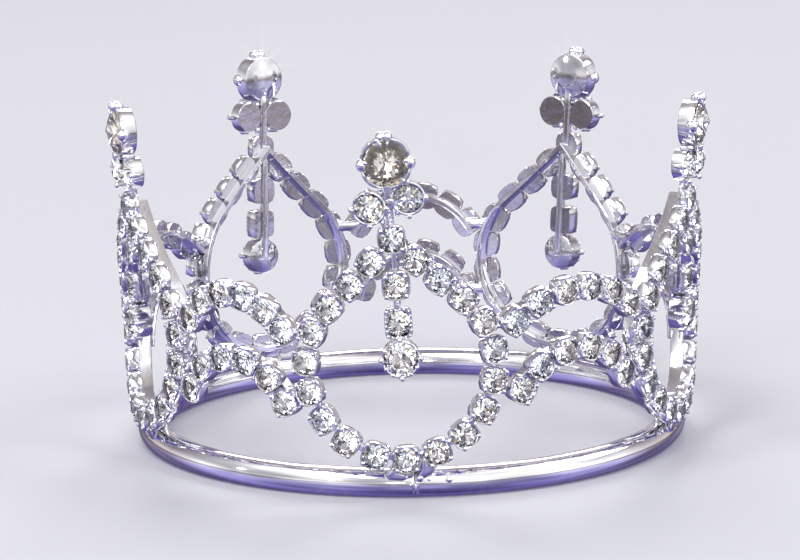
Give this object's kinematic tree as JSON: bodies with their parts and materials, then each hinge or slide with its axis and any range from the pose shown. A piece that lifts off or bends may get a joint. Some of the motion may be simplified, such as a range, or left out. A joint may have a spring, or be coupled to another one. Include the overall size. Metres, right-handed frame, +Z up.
{
  "type": "mini tiara",
  "caption": "Full-round mini crown of silver rhinestone chain: looped points with drops and tip stones, joined by arched swags on a round ring.",
  "frame": {"origin": "middle of the base ring, in the plane of its flat underside", "axes": "+Z up, -Y towards the front point, +X to the right of a viewer who faces the front point"},
  "size_m": [0.0691, 0.0681, 0.0412],
  "materials": {
    "ring_metal": "mirror-polished silver plate",
    "cup_metal": "bright silver plate, with soldered joints",
    "crystal": "clear cut crystal with a foiled back"
  },
  "bodies": {
    "root": {"base_ring": "ring_metal", "point_front": "cup_metal", "point_right": "cup_metal", "point_back_right": "cup_metal", "point_back_left": "cup_metal", "point_left": "cup_metal", "drop_front": "cup_metal", "drop_right": "cup_metal", "drop_back_right": "cup_metal", "drop_back_left": "cup_metal", "drop_left": "cup_metal", "upper_swag_front_right": "cup_metal", "upper_swag_side_right": "cup_metal", "upper_swag_back": "cup_metal", "upper_swag_side_left": "cup_metal", "upper_swag_front_left": "cup_metal", "lower_swag_front_right": "cup_metal", "lower_swag_side_right": "cup_metal", "lower_swag_back": "cup_metal", "lower_swag_side_left": "cup_metal", "lower_swag_front_left": "cup_metal", "top_stone_front": "crystal", "top_stone_right": "crystal", "top_stone_back_right": "crystal", "top_stone_back_left": "crystal", "top_stone_left": "crystal", "pair_stone_l_front": "crystal", "pair_stone_l_right": "crystal", "pair_stone_l_back_right": "crystal", "pair_stone_l_back_left": "crystal", "pair_stone_l_left": "crystal", "pair_stone_r_front": "crystal", "pair_stone_r_right": "crystal", "pair_stone_r_back_right": "crystal", "pair_stone_r_back_left": "crystal", "pair_stone_r_left": "crystal", "drop_stone_front": "crystal", "drop_stone_right": "crystal", "drop_stone_back_right": "crystal", "drop_stone_back_left": "crystal", "drop_stone_left": "crystal", "point_stones_front": "crystal", "point_stones_right": "crystal", "point_stones_back_right": "crystal", "point_stones_back_left": "crystal", "point_stones_left": "crystal", "upper_swag_stones_front_right": "crystal", "upper_swag_stones_side_right": "crystal", "upper_swag_stones_back": "crystal", "upper_swag_stones_side_left": "crystal", "upper_swag_stones_front_left": "crystal", "lower_swag_stones_front_right": "crystal", "lower_swag_stones_side_right": "crystal", "lower_swag_stones_back": "crystal", "lower_swag_stones_side_left": "crystal", "lower_swag_stones_front_left": "crystal"}
  },
  "joints": []
}
